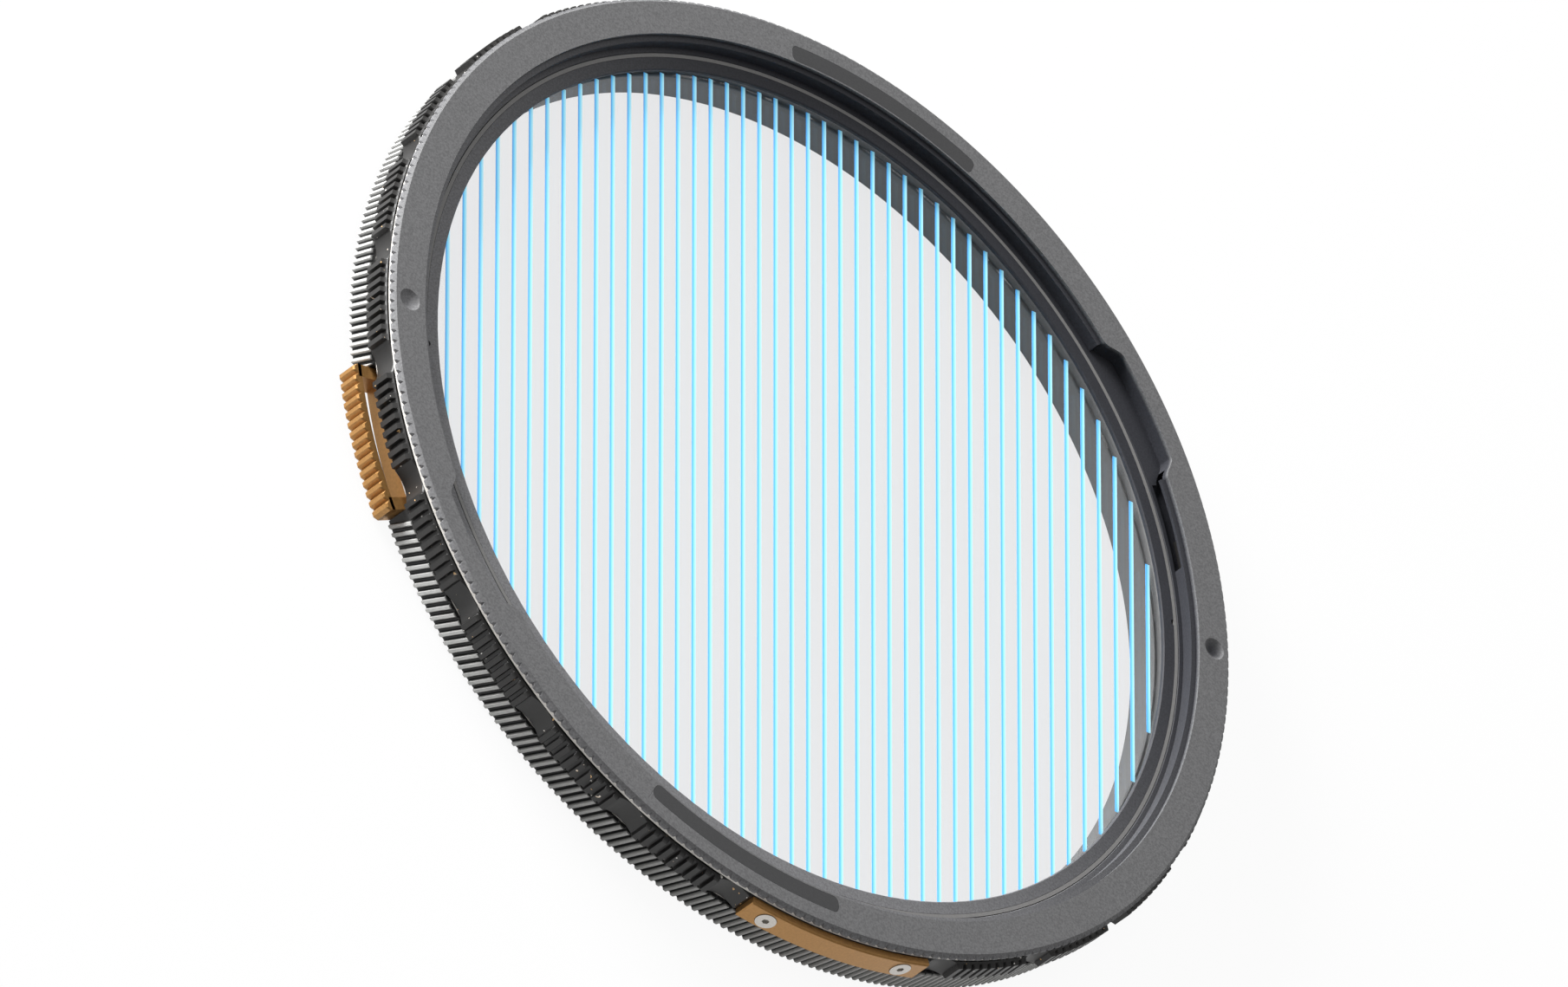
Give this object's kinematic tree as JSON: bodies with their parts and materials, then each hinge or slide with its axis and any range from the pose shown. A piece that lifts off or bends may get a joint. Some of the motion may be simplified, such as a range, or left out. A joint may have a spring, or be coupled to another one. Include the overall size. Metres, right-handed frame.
{
  "type": "magnetic lens filter",
  "caption": "Round glass streak filter with fine parallel lines, magnetic bayonet rear mount, knurled lock ring and a turning front ring with a gold lever.",
  "frame": {"origin": "on the optical axis, in the plane of the rear socket's floor, where the lens ring seats", "axes": "+Z along the optical axis towards the magnetic rear face; +Y along the streak lines; the nameplate faces -Y and the lever -X"},
  "size_m": [0.0943, 0.0937, 0.0066],
  "materials": {
    "rear_plate": "blasted and anodised dark grey",
    "magnet": "black epoxy coat",
    "spring_steel": "bright spring steel",
    "glide": "natural low friction plastic",
    "grip": "black anodised",
    "front_ring": "dark anodised",
    "gold": "gold anodised",
    "screw_steel": "turned steel",
    "optical_glass": "polished and coated",
    "streak": "clear light blue",
    "gasket": "matt black"
  },
  "bodies": {
    "mount": {"mount_flange": "rear_plate", "magnet_1": "magnet", "magnet_2": "magnet", "click_spring_1": "spring_steel", "click_spring_2": "spring_steel", "rear_glide_ring": "glide"},
    "lock_ring": {"grip_ring": "grip", "lug_ring": "grip", "nameplate": "gold", "nameplate_screws": "screw_steel"},
    "front": {"front_ring": "front_ring", "front_glide_ring": "glide", "snap_wire": "spring_steel", "lever": "gold", "lever_screws": "screw_steel", "front_glass": "optical_glass", "streak_lines": "streak", "rear_glass": "optical_glass", "glass_gasket": "gasket", "retaining_ring": "rear_plate"}
  },
  "joints": [
    {"name": "lock_turn", "type": "hinge", "parent": "mount", "child": "lock_ring", "pos_m": [0, 0, -0.0007], "axis": [0, 0, 1], "range_deg": [0, 8.5]},
    {"name": "front_turn", "type": "hinge", "parent": "mount", "child": "front", "pos_m": [0, 0, -0.0035], "axis": [0, 0, 1], "continuous": true}
  ]
}
